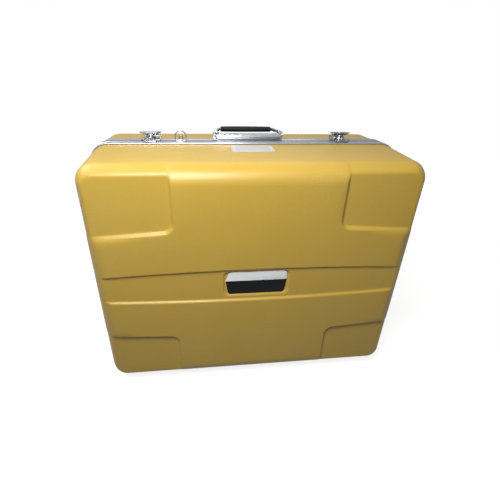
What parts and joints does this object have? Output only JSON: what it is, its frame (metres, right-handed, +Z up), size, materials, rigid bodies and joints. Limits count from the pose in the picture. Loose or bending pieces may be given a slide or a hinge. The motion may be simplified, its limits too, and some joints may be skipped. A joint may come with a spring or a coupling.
{
  "type": "surveying instrument carrying case",
  "caption": "Upright hard-shell carrying case for a surveying instrument: two formed plastic shells in hinged aluminium rims, folding carrying handle, turn latches and foam-lined bays.",
  "frame": {"origin": "on the floor, under the middle of the closed case", "axes": "+X along the width, -Y towards the lid's face with the nameplate, +Z up"},
  "size_m": [0.6, 0.296, 0.4932],
  "materials": {
    "shell_plastic": "satin ochre, fine moulded grain",
    "rim_aluminium": "brushed extrusion",
    "seal_rubber": "matt",
    "foam": "open-cell charcoal foam",
    "bright_metal": "bright nickel plate with fine scratches",
    "fastener_metal": "zinc plated",
    "grip_plastic": "black, fine grain",
    "foot_rubber": "matt",
    "plate_metal": "silver and black anodised",
    "label_paper": "white"
  },
  "bodies": {
    "base": {"rear_shell": "shell_plastic", "rear_rim": "rim_aluminium", "rim_seal": "seal_rubber", "rear_rim_rivets": "fastener_metal", "base_foam_pad": "foam", "base_foam_walls": "foam", "base_foam_dividers": "foam", "handle_base": "bright_metal", "handle_rivets": "fastener_metal", "handle_pins": "bright_metal", "latch_bases": "bright_metal", "latch_rivets": "fastener_metal", "lock_eye": "fastener_metal", "base_hinge_leaves": "fastener_metal", "hinge_pins": "bright_metal", "base_hinge_rivets": "fastener_metal", "base_feet": "foot_rubber", "base_foot_screws": "fastener_metal"},
    "lid": {"front_shell": "shell_plastic", "front_rim": "rim_aluminium", "front_rim_rivets": "fastener_metal", "lid_foam_pad": "foam", "lid_foam_walls": "foam", "nameplate": "plate_metal", "paper_label": "label_paper", "latch_keepers": "bright_metal", "keeper_rivets": "fastener_metal", "loop_staple": "fastener_metal", "lid_hinge_leaves": "fastener_metal", "lid_hinge_rivets": "fastener_metal", "lid_feet": "foot_rubber", "lid_foot_screws": "fastener_metal"},
    "handle": {"handle_bail": "bright_metal", "handle_grip": "grip_plastic"},
    "left_latch": {"left_spindle": "fastener_metal", "left_hook": "bright_metal", "left_wing": "bright_metal"},
    "right_latch": {"right_spindle": "fastener_metal", "right_hook": "bright_metal", "right_wing": "bright_metal"},
    "loop": {"lock_loop": "bright_metal"}
  },
  "joints": [
    {"name": "lid_hinge", "type": "hinge", "parent": "base", "child": "lid", "pos_m": [0, 0.022, 0.0076], "axis": [1, 0, 0], "range_deg": [0, 105]},
    {"name": "handle_fold", "type": "hinge", "parent": "base", "child": "handle", "pos_m": [0, 0.035, 0.486], "axis": [1, 0, 0], "range_deg": [0, 95]},
    {"name": "left_latch_turn", "type": "hinge", "parent": "base", "child": "left_latch", "pos_m": [-0.19, 0.0335, 0.482], "axis": [0, 0, -1], "range_deg": [0, 90]},
    {"name": "right_latch_turn", "type": "hinge", "parent": "base", "child": "right_latch", "pos_m": [0.19, 0.0335, 0.482], "axis": [0, 0, 1], "range_deg": [0, 90]},
    {"name": "loop_tilt", "type": "hinge", "parent": "lid", "child": "loop", "pos_m": [-0.132, 0.012, 0.4748], "axis": [1, 0, 0], "range_deg": [-80, 80]}
  ]
}
